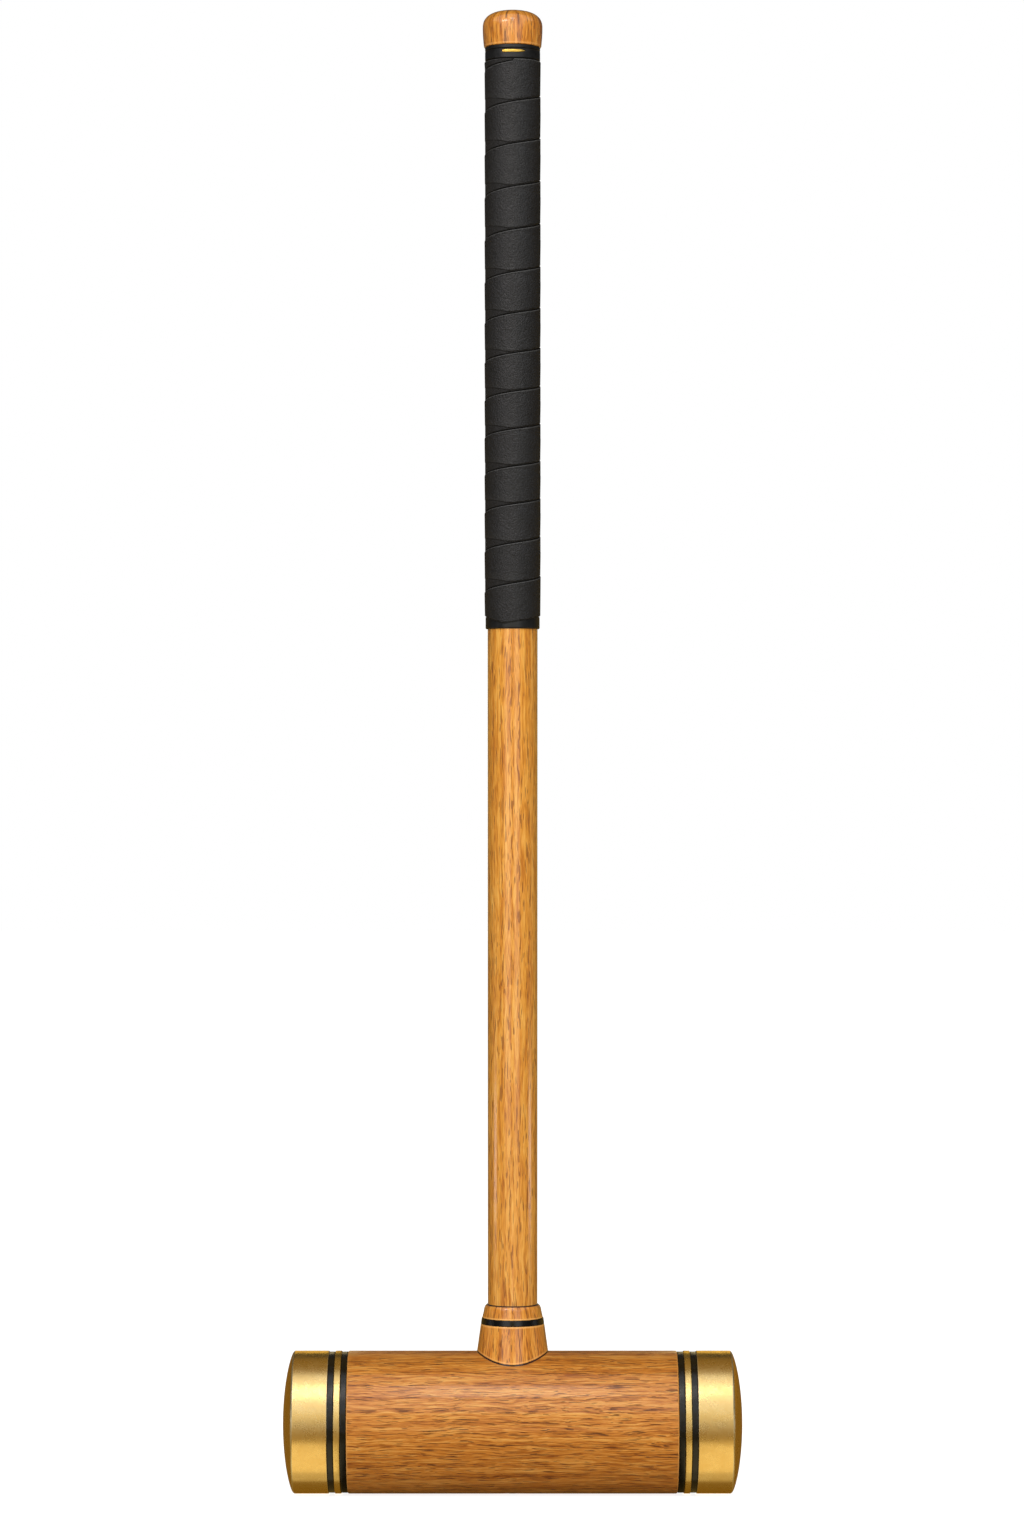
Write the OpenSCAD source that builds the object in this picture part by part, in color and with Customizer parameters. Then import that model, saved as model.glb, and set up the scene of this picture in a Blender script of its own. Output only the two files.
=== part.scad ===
// Croquet mallet: a turned hardwood head with domed brass face caps, and a round
// wooden shaft that runs through the head and is wedged from below.
// Z is up along the shaft, X lies along the head and the front is -Y.
// The origin is on the sole of the head, under the shaft. Millimetres.

/* [Overall] */
// Height of the whole mallet, from the sole to the top of the pommel
mallet_h = 863.6; // [800:0.2:940]

/* [Head] */
// Diameter of the head
head_d = 82.5; // [76:0.5:90]
// Length of the bare wood between the two stacks of rings
block_l = 191.5; // [160:0.5:230]
// Radius of the rounded edges at the two ends of the bare wood
block_edge = 0.8; // [0.4:0.1:1.2]

/* [Head rings] */
// Width of each ring along the head
ring_w = 3.7; // [2.5:0.1:6]
// Wall of the rings and of the cap skirts, which is how deep the block's ends are turned down
ring_t = 2.2; // [1.8:0.1:4]
// How far the black rings lie below the head's surface
black_ring_sink = 0.5; // [0.2:0.1:1]
// Radius of the rounded edges of every ring
ring_edge = 0.4; // [0.2:0.1:0.8]

/* [Face caps] */
// Length of a cap's cylindrical skirt
cap_skirt_l = 20.6; // [12:0.2:32]
// Thickness of a cap's striking face
cap_face_t = 2.6; // [2:0.1:5]
// Height of the striking face's dome above the skirt
cap_dome_h = 6.2; // [3:0.1:9]
// How full the dome is: 2 is a parabola, and smaller is flatter with a rounder rim
cap_dome_form = 1.44; // [1:0.02:2]
// Chamfer between the skirt and the dome
cap_rim = 0.5; // [0.3:0.1:1]

/* [Collar] */
// Height of the collar above the top of the head
collar_h = 27.9; // [22:0.1:45]
// Diameter of the collar's foot, level with the top of the head
collar_foot_d = 41.5; // [38:0.5:52]
// Diameter of the collar's cone just under the bead
collar_neck_d = 35.9; // [34.4:0.1:37.5]
// Height of the bead at the top of the collar
collar_bead_h = 8.1; // [6:0.1:12]
// Diameter of the bead at its shoulder
collar_bead_d = 33.2; // [32:0.1:34]
// Radius of the bead's rounded shoulder
collar_bead_round = 2.2; // [1:0.1:2.8]
// How far the bead's foot stands in from the cone's line
collar_bead_inset = 0.3; // [0:0.1:0.8]
// Height of the black band under the bead
collar_band_h = 3.5; // [2:0.1:6]

/* [Shaft] */
// Diameter of the shaft where it enters the collar
shaft_d = 28.8; // [26:0.1:29]
// Diameter of the shaft under the grip
shaft_grip_d = 29.1; // [28:0.1:29.5]
// Depth of the socket in the head's top that seats the shaft's shoulder
socket_depth = 4; // [3.2:0.1:8]
// Diameter of the tenon that runs through the head
tenon_d = 20; // [16:0.5:23]

/* [Wedge] */
// Length of the saw kerf up the tenon, from the sole
kerf_l = 36; // [25:1:55]
// Width of the kerf before the wedge is driven
kerf_w = 1; // [0.8:0.1:1.5]
// Thickness of the wedge at the sole
wedge_t = 4; // [3:0.1:6]
// Room left between the wedge's tip and the end of the kerf
wedge_tip_room = 3; // [1:0.5:8]

/* [Grip] */
// Length of the grip, from the pommel down to the lower edge of the lower band
grip_l = 338.8; // [250:0.2:420]
// Height of the main part of the black band under the pommel
top_band_h = 5.6; // [4:0.1:10]
// Height of the rim on top of that band, set off by a turned groove
top_rim_h = 2.3; // [1.6:0.1:4]
// Diameter of the band under the pommel
top_band_d = 32.1; // [31.8:0.1:33]
// Height of the band at the lower end of the grip
lower_band_h = 7; // [4:0.1:12]
// Diameter of the band at the lower end of the grip
lower_band_d = 31.5; // [31.2:0.1:32.8]
// Radius of the rounded edges of both grip bands
band_edge = 0.5; // [0.2:0.1:0.7]
// Thickness of the foam underlay between the shaft and the tape
underlay_t = 0.5; // [0.4:0.1:1.5]

/* [Grip tape] */
// Thickness of the tape at the upper edge of each turn
tape_t = 1; // [0.8:0.1:2]
// How much thinner the tape is at the lower edge of each turn
tape_thin = 0.2; // [0.1:0.05:0.5]
// Mean height that one turn of the tape takes up
tape_pitch = 23.3; // [18:0.1:30]
// Gap between neighbouring turns
tape_gap = 0.5; // [0.45:0.05:1]
// Height of the chamfer along both edges of the tape
tape_edge = 0.8; // [0.4:0.1:1.2]
// How far the hand-laid turns stray from even spacing, at most
tape_stray = 6.8; // [0:0.1:9]
// How much flatter than its mean slope the tape lies at the front, and steeper at the back
tape_ease = 0.3; // [0:0.05:0.5]
// Room between the tape and the bands above and below it
tape_end_room = 0.6; // [0.3:0.1:1]

/* [Band inlay] */
// Height of the brass line let into the band under the pommel
inlay_h = 1.7; // [1:0.1:2.5]
// How far the line reaches round the band
inlay_angle = 50; // [30:1:90]
// How far the line's middle is turned from the front, towards +X
inlay_turn = 2.5; // [-20:0.5:20]
// Depth of the line's slot
inlay_depth = 0.7; // [0.4:0.1:0.9]
// Height of the line's upper edge below the band's groove
inlay_drop = 0.6; // [0.5:0.1:1.2]

/* [Pommel] */
// Height of the pommel
pommel_h = 21.5; // [19:0.1:32]
// Largest diameter of the pommel
pommel_d = 34.8; // [34:0.1:38]
// Diameter of the pommel's seat on the grip
pommel_seat_d = 33.3; // [33:0.1:34]
// Height of the crown, from the widest point to the top
pommel_crown_h = 10.3; // [8:0.1:14]
// How square the crown is: 2 is an ellipse, and larger has a flatter top
pommel_crown_form = 2.6; // [2:0.1:3.5]
// Radius of the rounded edge round the seat
pommel_seat_edge = 0.6; // [0.3:0.1:1]

/* [Dowel] */
// Diameter of the dowel that joins the pommel to the shaft
dowel_d = 10; // [8:0.5:12]
// Depth of the dowel's hole in the pommel
dowel_hole_up = 13; // [8:0.5:15]
// Depth of the dowel's hole in the shaft
dowel_hole_down = 22; // [15:0.5:35]
// Chamfer on the dowel's ends
dowel_chamfer = 1; // [0.5:0.1:1.5]
// Glue room left at each end of the dowel
dowel_end_room = 0.5; // [0.3:0.1:2]

/* [Fit] */
// Glue line on every bonded surface that isn't flat
glue = 0.1; // [0.05:0.01:0.2]

/* [Hidden] */
$fn = 96;

// Finishes
oak = "#b8722a";
ash = "#dc9a48";
walnut = "#6b4223";
beech = "#d8b27a";
brass = "#c9a032";
ebonite = "#1d2021";
foam = "#3a3a3a";
grip_black = "#2b2b2b";

// Head, measured from the middle outwards
head_r = head_d / 2;
spigot_r = head_r - ring_t;
bore_r = spigot_r + glue;
half_block = block_l / 2;
brass_ring_x = half_block + ring_w;
outer_ring_x = brass_ring_x + ring_w;
cap_x = outer_ring_x + ring_w;
face_x = cap_x + cap_skirt_l;
dome_rim_r = head_r - cap_rim;

// Collar heights, and how fast its cone narrows
head_top_z = head_d;
collar_top_z = head_top_z + collar_h;
bead_z = collar_top_z - collar_bead_h;
collar_band_z = bead_z - collar_band_h;
cone_slope = (collar_foot_d - collar_neck_d) / 2 / (bead_z - head_top_z);
// The cone starts inside the head, which is then cut away from it
cone_start_z = head_top_z - head_r / 2;

// Shaft, tenon and wedge
shaft_r = shaft_d / 2;
shaft_hole_r = shaft_r + glue;
shaft_grip_r = shaft_grip_d / 2;
grip_bore_r = shaft_grip_r + glue;
tenon_r = tenon_d / 2;
shoulder_z = head_top_z - socket_depth;
shaft_top_z = mallet_h - pommel_h;
spread_angle = atan((wedge_t - kerf_w) / 2 / kerf_l);
// How far cutting shapes run past what they cut
past = 5;
// How far the tenon runs up into the shaft, and the spread halves into the straight tenon
tenon_overlap = 1;
// How much slimmer the spread halves are, so that they stay inside the tenon where they meet it
spread_ease = 0.15;

// Grip heights and radii
grip_z = shaft_top_z - grip_l;
groove_z = shaft_top_z - top_rim_h;
top_band_z = groove_z - top_band_h;
top_band_r = top_band_d / 2;
tape_top_z = top_band_z - tape_end_room;
underlay_z = grip_z + lower_band_h;
tape_foot_z = underlay_z + tape_end_room;
underlay_r = grip_bore_r + underlay_t;
inlay_z = groove_z - inlay_drop - inlay_h;
inlay_r = top_band_r - inlay_depth;

// Grip tape: steps in one turn, turns in one cycle of its stray, and the width of its cut ends
tape_steps = 24;
stray_turns = 12.5;
tape_tip_w = 0.8;
front_angle = -90;
// The flats between the tape's steps clear the round underlay at their middles
tape_in_r = (underlay_r + glue) / cos(180 / tape_steps);
tape_out_r = tape_in_r + tape_t;

// Pommel heights and radii
seat_r = pommel_seat_d / 2;
pommel_r = pommel_d / 2;
widest_z = mallet_h - pommel_crown_h;

// Steps in the small rounded edges and in the larger curves of turned outlines
edge_steps = 4;
curve_steps = 16;

// Points of an arc about centre c from angle a0 to a1
function arc(c, r, a0, a1, steps = edge_steps) =
    [for (i = [0 : steps]) let(a = a0 + (a1 - a0) * i / steps) c + r * [cos(a), sin(a)]];

// Outline of a plain ring: [along, radius] points, with its two outer edges rounded
function ring_outline(start, width, r_in, r_out, edge) = concat(
    [[start, r_in], [start + width, r_in]],
    arc([start + width - edge, r_out - edge], edge, 0, 90),
    arc([start + edge, r_out - edge], edge, 90, 180)
);

// Turns an outline of [distance along the head, radius] points about the head's axis
module turned_along_x(points) {
    translate([0, 0, head_r])
        rotate([0, 90, 0])
            rotate_extrude()
                polygon([for (p = points) [p[1], p[0]]]);
}

// Turns an outline of [height, radius] points about the shaft's axis
module turned_along_z(points) {
    rotate_extrude()
        polygon([for (p = points) [p[1], p[0]]]);
}

// Puts a right-hand piece of the head on one side: 1 is right, -1 is left
module on_side(side) {
    if (side > 0)
        children();
    else
        mirror([1, 0, 0])
            children();
}

// The head's own cylinder, run past its ends, with its surface moved out by grow
module head_cylinder(grow = 0) {
    translate([-face_x - head_d, 0, head_r])
        rotate([0, 90, 0])
            cylinder(r = head_r + grow, h = 2 * (face_x + head_d));
}

// Where the striking face stands along the head, at distance r from the head's axis
function dome_x(r) = face_x + cap_dome_h * pow(1 - pow(r / dome_rim_r, 2), cap_dome_form / 2);

// Points over the dome from radius r_from to the axis, moved back by depth
function dome_outline(r_from, depth) =
    [for (i = [0 : curve_steps]) let(r = r_from * cos(90 * i / curve_steps)) [dome_x(r) - depth, r]];

// Head block: bare wood in the middle, and a spigot at each end for the rings and the cap
module head_block() {
    right_half = concat(
        arc([half_block - block_edge, head_r - block_edge], block_edge, 90, 0),
        [[half_block, spigot_r]],
        dome_outline(spigot_r, cap_face_t + glue)
    );
    left_half = [for (i = [len(right_half) - 1 : -1 : 0]) [-right_half[i][0], right_half[i][1]]];
    color(oak)
        difference() {
            turned_along_x(concat(left_half, right_half));
            spread_round(tenon_r + glue);
            translate([0, 0, shoulder_z])
                cylinder(r = shaft_hole_r, h = socket_depth + past);
        }
}

// Face cap: a brass cup whose domed face backs onto the block's domed end
module face_cap(side) {
    inside = dome_outline(bore_r, cap_face_t);
    color(brass)
        on_side(side)
            turned_along_x(concat(
                [[cap_x, bore_r]],
                arc([cap_x + ring_edge, head_r - ring_edge], ring_edge, 180, 90),
                [[face_x - cap_rim, head_r]],
                dome_outline(dome_rim_r, 0),
                [for (i = [curve_steps : -1 : 0]) inside[i]]
            ));
}

// Black ring: it lies a little below the head's surface
module black_ring(x, side) {
    color(ebonite)
        on_side(side)
            turned_along_x(ring_outline(x, ring_w, bore_r, head_r - black_ring_sink, ring_edge));
}

// Brass ring between the two black ones, level with the head's surface
module brass_ring(side) {
    color(brass)
        on_side(side)
            turned_along_x(ring_outline(brass_ring_x, ring_w, bore_r, head_r, ring_edge));
}

// Outside radius of the collar's cone at a height
function cone_r(z) = collar_foot_d / 2 - cone_slope * (z - head_top_z);

// Collar base: the cone that carries the shaft onto the head, cut to sit astride it
module collar_base() {
    color(ash)
        difference() {
            turned_along_z([
                [cone_start_z, shaft_hole_r], [cone_start_z, cone_r(cone_start_z)],
                [collar_band_z, cone_r(collar_band_z)], [collar_band_z, shaft_hole_r]
            ]);
            head_cylinder(glue);
        }
}

// Collar band: the black layer glued between the cone and the bead
module collar_band() {
    color(ebonite)
        turned_along_z([
            [collar_band_z, shaft_hole_r], [collar_band_z, cone_r(collar_band_z)],
            [bead_z, cone_r(bead_z)], [bead_z, shaft_hole_r]
        ]);
}

// Collar bead: the ring that finishes the collar, with a rounded shoulder
module collar_bead() {
    lip = 0.3;
    centre = [collar_top_z - collar_bead_round, collar_bead_d / 2 - collar_bead_round];
    // The shoulder's arc stops at its top, or a lip's width short of the shaft
    stop_angle = asin(max(0, shaft_hole_r + lip - centre[1]) / collar_bead_round);
    shoulder = arc(centre, collar_bead_round, 80, stop_angle, curve_steps);
    color(ash)
        turned_along_z(concat(
            [[bead_z, shaft_hole_r], [bead_z, cone_r(bead_z) - collar_bead_inset]],
            shoulder,
            [[shoulder[curve_steps][0], shaft_hole_r]]
        ));
}

// The hole for the tenon, or the tenon itself: straight above the kerf, and below the kerf's
// end two tilted halves that the wedge has driven apart along the grain of the head
module spread_round(r) {
    translate([0, 0, kerf_l])
        cylinder(r = r, h = shoulder_z - kerf_l + tenon_overlap);
    for (side = [-1, 1])
        translate([0, 0, kerf_l + tenon_overlap / 2])
            rotate([0, side * spread_angle, 0])
                translate([0, 0, -kerf_l - past])
                    cylinder(r = r - spread_ease, h = kerf_l + past + tenon_overlap / 2);
}

// The tapered gap that the kerf opens to, or with some play the wedge in it, up to top_z
module kerf_slab(top_z, play) {
    half_w = function(z) kerf_w / 2 + (kerf_l - z) * tan(spread_angle) - play;
    rotate([90, 0, 0])
        translate([0, 0, -tenon_d])
            linear_extrude(2 * tenon_d)
                polygon([
                    [-half_w(-past), -past], [half_w(-past), -past],
                    [half_w(top_z), top_z], [-half_w(top_z), top_z]
                ]);
}

// Shaft: round from its shoulder in the head to the pommel, with the slotted tenon below
module shaft() {
    color(ash) {
        difference() {
            turned_along_z([
                [shoulder_z, 0], [shoulder_z, shaft_r], [collar_top_z, shaft_r],
                [grip_z, shaft_grip_r], [shaft_top_z, shaft_grip_r], [shaft_top_z, 0]
            ]);
            translate([0, 0, shaft_top_z - dowel_hole_down])
                cylinder(d = dowel_d + 2 * glue, h = dowel_hole_down + past);
        }
        difference() {
            intersection() {
                spread_round(tenon_r);
                head_cylinder();
            }
            kerf_slab(kerf_l, 0);
        }
    }
}

// Tenon wedge: driven into the kerf from the sole and cut flush with it
module tenon_wedge() {
    color(walnut)
        intersection() {
            kerf_slab(kerf_l - wedge_tip_room, glue);
            cylinder(r = tenon_r, h = kerf_l);
            head_cylinder();
        }
}

// Foam underlay under the tape
module grip_underlay() {
    color(foam)
        turned_along_z([
            [underlay_z, grip_bore_r], [underlay_z, underlay_r],
            [top_band_z, underlay_r], [top_band_z, grip_bore_r]
        ]);
}

// Height of the seam below the tape after t turns down from its cut start at the front
function seam_z(t) = tape_top_z - tape_tip_w
    - tape_pitch * (t - tape_ease * sin(360 * t) / (2 * PI))
    - tape_stray * (1 - cos(360 * t / stray_turns)) / 2;

// Lower and upper edge of the tape after t turns; both of its ends are cut off level
function tape_low(t) = max(tape_foot_z, seam_z(t));
function tape_high(t) = t < 1 ? tape_top_z : min(tape_top_z, seam_z(t - 1) - tape_gap);

// The tape ends where its upper edge has come down to the foot of the grip
tape_rings = max([for (i = [0 : 40 * tape_steps])
    if (tape_high(i / tape_steps) - tape_foot_z >= tape_tip_w) i]);

// One six-sided section of the tape: thickest at its upper edge, and both edges chamfered
function tape_section(t) = let(
    low = tape_low(t),
    high = tape_high(t),
    edge = min(tape_edge, (high - low) / 3),
    a = front_angle - 360 * t,
    section = [
        [tape_in_r, low], [tape_in_r, high],
        [tape_out_r - tape_edge / 2, high], [tape_out_r, high - edge],
        [tape_out_r - tape_thin, low + edge], [tape_out_r - tape_thin - tape_edge / 2, low]
    ]
) [for (p = section) [p[0] * cos(a), p[0] * sin(a), p[1]]];

tape_sections = [for (i = [0 : tape_rings]) tape_section(i / tape_steps)];

// Every triangle of a tube swept through rings of six points each
function tube_faces(rings) = concat(
    [for (i = [1 : 4]) [0, i, i + 1]],
    [for (i = [0 : rings - 2], j = [0 : 5])
        let(a = i * 6 + j, b = i * 6 + (j + 1) % 6)
        each [[a, a + 6, b], [b, a + 6, b + 6]]],
    [for (i = [1 : 4]) let(o = (rings - 1) * 6) [o, o + i + 1, o + i]]
);

// Least distance between the facing edges of two neighbouring turns, on the sections' points
tape_least_gap = min([
    for (i = [0 : tape_rings - tape_steps - 1], step = [-1 : 1], low = [0, 4, 5], high = [1, 2, 3])
        norm(tape_sections[i][low] - tape_sections[i + tape_steps + step][high])
]);
echo(tape_turns = tape_rings / tape_steps, tape_least_gap = tape_least_gap);

// Grip tape: one unbroken strip wound down the handle
module grip_tape() {
    color(grip_black)
        polyhedron(
            points = [for (section = tape_sections) each section],
            faces = tube_faces(tape_rings + 1)
        );
}

// Lower band: it holds down the tape's end
module grip_lower_band() {
    color(ebonite)
        turned_along_z(ring_outline(grip_z, lower_band_h, grip_bore_r, lower_band_d / 2, band_edge));
}

// The brass line, or the slot for it, between two radii
module inlay_arc(r_in, r_out, h, angle) {
    translate([0, 0, inlay_z + (inlay_h - h) / 2])
        rotate([0, 0, front_angle + inlay_turn - angle / 2])
            rotate_extrude(angle = angle)
                translate([r_in, 0])
                    square([r_out - r_in, h]);
}

// Upper band: the black ring under the pommel, with a turned groove and the brass line's slot
module grip_top_band() {
    color(ebonite)
        difference() {
            union() {
                turned_along_z(ring_outline(top_band_z, top_band_h, grip_bore_r, top_band_r, band_edge));
                turned_along_z(ring_outline(groove_z, top_rim_h, grip_bore_r, top_band_r, band_edge));
            }
            inlay_arc(inlay_r, top_band_r + past, inlay_h, inlay_angle);
        }
}

// Brass line let into the upper band
module band_inlay() {
    end_play = 0.5;
    color(brass)
        inlay_arc(inlay_r + glue, top_band_r, inlay_h - glue, inlay_angle - 2 * end_play);
}

// Pommel: a turned knob with a crown, drilled from below for its dowel
module pommel() {
    side_z = shaft_top_z + pommel_seat_edge;
    // The side swells as a quarter of a sine wave, from the seat to the widest point
    side = [for (i = [1 : curve_steps])
        let(s = i / curve_steps)
        [side_z + (widest_z - side_z) * s, seat_r + (pommel_r - seat_r) * sin(90 * s)]];
    // The crown is a quarter of a superellipse, from the widest point to the top
    crown = [for (i = [1 : curve_steps])
        let(a = 90 * i / curve_steps)
        [widest_z + pommel_crown_h * pow(sin(a), 2 / pommel_crown_form),
            pommel_r * pow(cos(a), 2 / pommel_crown_form)]];
    color(ash)
        difference() {
            turned_along_z(concat(
                [[shaft_top_z, 0]],
                arc([side_z, seat_r - pommel_seat_edge], pommel_seat_edge, 180, 90),
                side,
                crown
            ));
            translate([0, 0, shaft_top_z - past])
                cylinder(d = dowel_d + 2 * glue, h = dowel_hole_up + past);
        }
}

// Dowel: it lines the pommel up with the shaft
module pommel_dowel() {
    low = shaft_top_z - dowel_hole_down + dowel_end_room;
    high = shaft_top_z + dowel_hole_up - dowel_end_room;
    r = dowel_d / 2;
    color(beech)
        turned_along_z([
            [low, 0], [low, r - dowel_chamfer], [low + dowel_chamfer, r],
            [high - dowel_chamfer, r], [high, r - dowel_chamfer], [high, 0]
        ]);
}

head_block();
face_cap(-1);  // face_cap_left
black_ring(outer_ring_x, -1);  // outer_black_ring_left
brass_ring(-1);  // brass_ring_left
black_ring(half_block, -1);  // inner_black_ring_left
face_cap(1);  // face_cap_right
black_ring(outer_ring_x, 1);  // outer_black_ring_right
brass_ring(1);  // brass_ring_right
black_ring(half_block, 1);  // inner_black_ring_right
collar_base();
collar_band();
collar_bead();
shaft();
tenon_wedge();
grip_underlay();
grip_tape();
grip_lower_band();
grip_top_band();
band_inlay();
pommel();
pommel_dowel();
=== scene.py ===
import math

import bmesh
import bpy
import numpy as np
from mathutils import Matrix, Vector


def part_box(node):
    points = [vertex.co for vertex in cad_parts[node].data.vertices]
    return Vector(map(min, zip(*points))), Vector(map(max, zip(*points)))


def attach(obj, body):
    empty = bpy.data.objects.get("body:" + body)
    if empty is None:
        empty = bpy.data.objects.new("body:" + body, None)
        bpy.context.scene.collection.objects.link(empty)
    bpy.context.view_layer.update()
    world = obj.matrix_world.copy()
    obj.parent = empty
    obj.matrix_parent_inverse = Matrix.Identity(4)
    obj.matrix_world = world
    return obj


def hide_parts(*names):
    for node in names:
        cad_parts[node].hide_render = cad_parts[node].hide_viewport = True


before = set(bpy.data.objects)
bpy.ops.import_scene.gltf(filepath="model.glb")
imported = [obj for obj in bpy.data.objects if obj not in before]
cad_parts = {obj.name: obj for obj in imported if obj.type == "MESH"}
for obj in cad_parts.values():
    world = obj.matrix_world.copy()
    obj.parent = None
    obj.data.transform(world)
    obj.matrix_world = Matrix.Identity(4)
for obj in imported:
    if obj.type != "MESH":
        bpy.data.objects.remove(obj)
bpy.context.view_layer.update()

# A croquet mallet: a turned oak head with brass face caps and rings, a turned ash collar,
# an ash shaft, a black taped grip between two rubber bands, and a turned ash pommel.
# The head lies along X, the shaft stands along Z, and the front is -Y. Sizes are in millimetres.

MM = 0.001


def cad_span(node_name, axis):
    """Lowest and highest place of a CAD node along one axis (0, 1 or 2), in millimetres."""
    low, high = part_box(node_name)
    return low[axis] / MM, high[axis] / MM


# Head, measured from its middle outwards
HEAD_R = cad_span("head_block", 2)[1] / 2
INNER_RING_X, BRASS_RING_X = cad_span("inner_black_ring_right", 0)
OUTER_RING_X, CAP_X = cad_span("outer_black_ring_right", 0)
CAP_END_X = cad_span("face_cap_right", 0)[1]
DOME_H = 6.2
CAP_CHAMFER = 0.5
DOME_RIM_X = CAP_END_X - DOME_H
DOME_RIM_R = HEAD_R - CAP_CHAMFER
DOME_FORM = 0.72
CAP_FACE_T = 2.6
SEAT_R = HEAD_R - 2.1
BLACK_RING_R = cad_span("inner_black_ring_right", 1)[1]
RING_EDGE = 0.4
BLACK_RING_EDGE = 0.6

# Collar
HEAD_TOP_Z = 2 * HEAD_R
COLLAR_BAND_Z, BEAD_Z = cad_span("collar_band", 2)
BEAD_TOP_Z = cad_span("collar_bead", 2)[1]
COLLAR_BORE_R = 14.5
FOOT_R = 20.75
CONE_SLOPE = 2.8 / (BEAD_Z - HEAD_TOP_Z)
BEAD_INSET = 0.3
SHOULDER_Z = 106.2
SHOULDER_H = 4.2
SHOULDER_MIDDLE_R = 13.8
SHOULDER_R = 2.9

# Grip
LOWER_BAND_Z, LOWER_BAND_TOP_Z = cad_span("grip_lower_band", 2)
LOWER_BAND_R = cad_span("grip_lower_band", 0)[1]
TOP_BAND_Z, SHAFT_TOP_Z = cad_span("grip_top_band", 2)
TOP_BAND_R = cad_span("grip_top_band", 0)[1]
GROOVE_Z = SHAFT_TOP_Z - 2.3
BAND_BORE_R = 14.65
TAPE_FOOT_Z, TAPE_TOP_Z = cad_span("grip_tape", 2)
TAPE_IN_R = 15.38
TAPE_OUT_R = 16.38
TAPE_THIN = 0.2
TAPE_PITCH = 23.3
TAPE_GAP = 0.5
TAPE_EASE = 0.3
TAPE_STRAY = 6.8
STRAY_TURNS = 12.5
TAPE_TURNS = 352 / 24
TAPE_TIP_Z = 506.07
TAPE_TIP_TURN = -17.7
TAPE_RISE_LEFT = -0.0729
TAPE_RISE_RIGHT = 0.0463
TAPE_OVER_R = LOWER_BAND_R + 0.04
TAPE_EDGE = 1.15
SEAM_START = 0.8
FOLD_LEAN = 3.65
FOLD_BOW = 0.75
FOLD_SINK_LEFT = 0.15
FOLD_SINK_RIGHT = 0.09
INLAY_Z = 838.15
INLAY_HALF_H = 0.78
INLAY_HALF_ANGLE = math.radians(25)
INLAY_TURN = math.radians(2.5)
INLAY_MIDDLE_R = TOP_BAND_R - 0.06
INLAY_PROUD = 0.14
INLAY_DEPTH = 0.6
SLOT_DEPTH = 0.4
SLOT_MARGIN = 0.3

# Pommel
POMMEL_TOP_Z = cad_span("pommel", 2)[1]
POMMEL_SEAT_R = 16.65
SEAT_EDGE_Z = SHAFT_TOP_Z + 0.9
POMMEL_R = 17.4
WIDEST_Z = POMMEL_TOP_Z - 10.3
CROWN_FORM = 2.6

FRONT = -math.pi / 2
CORNER_STEPS = 6
SHADING_HOLD = 1.35
WELD_MM = 0.002


# How a mesh is made


def mesh_piece(name, points, closed_rows, material, nodes, fields=None):
    """A closed skin over a grid of points in millimetres.

    points[i, j] is step i of the outline at step j of the way round, which always closes on
    itself. The outline closes on itself too where closed_rows is true, and otherwise its two ends
    are single points. fields are values for each point, kept as attributes of the mesh."""
    rows, columns = points.shape[:2]
    index = np.arange(rows * columns).reshape(rows, columns)
    index = np.concatenate([index, index[:, :1]], axis=1)
    if closed_rows:
        index = np.concatenate([index, index[:1]], axis=0)
    faces = np.stack([index[:-1, :-1], index[1:, :-1], index[1:, 1:], index[:-1, 1:]], axis=-1)
    mesh = bpy.data.meshes.new(name)
    mesh.from_pydata((points.reshape(-1, 3) * MM).tolist(), [], faces.reshape(-1, 4).tolist())
    for field_name, values in (fields or {}).items():
        if values.ndim == 3:
            layer = mesh.attributes.new(field_name, "FLOAT_VECTOR", "POINT")
            layer.data.foreach_set("vector", values.astype(np.float32).ravel())
        else:
            layer = mesh.attributes.new(field_name, "FLOAT", "POINT")
            layer.data.foreach_set("value", values.astype(np.float32).ravel())
    # Points that fall together, as at a pole, become one
    welded = bmesh.new()
    welded.from_mesh(mesh)
    bmesh.ops.remove_doubles(welded, verts=welded.verts, dist=WELD_MM * MM)
    bmesh.ops.recalc_face_normals(welded, faces=welded.faces)
    welded.to_mesh(mesh)
    welded.free()
    mesh.shade_smooth()
    mesh.materials.append(material)
    piece = bpy.data.objects.new(name, mesh)
    bpy.context.scene.collection.objects.link(piece)
    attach(piece, "root")
    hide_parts(*nodes)
    return piece


def softened(corners, cuts, closed=True):
    """An outline with rounded corners.

    Each corner is cut back along both of its legs by its own cut, and the parabola that leaves
    one leg and joins the other replaces it. A point just beyond it on each leg holds the shading."""
    corner = np.array(corners, float)
    cut = np.array(cuts, float)[:, None]
    before = np.roll(corner, 1, axis=0) - corner
    after = np.roll(corner, -1, axis=0) - corner
    before /= np.maximum(np.linalg.norm(before, axis=1, keepdims=True), 1e-9)
    after /= np.maximum(np.linalg.norm(after, axis=1, keepdims=True), 1e-9)
    if not closed:
        before[0] = 0
        after[0] = 0
        before[-1] = 0
        after[-1] = 0
    t = np.linspace(0, 1, CORNER_STEPS + 1)[None, :, None]
    first = (corner + before * cut)[:, None]
    last = (corner + after * cut)[:, None]
    curve = (1 - t) ** 2 * first + 2 * t * (1 - t) * corner[:, None] + t ** 2 * last
    lead = (corner + before * cut * SHADING_HOLD)[:, None]
    tail = (corner + after * cut * SHADING_HOLD)[:, None]
    return np.concatenate([lead, curve, tail], axis=1).reshape(-1, 2)


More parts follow.
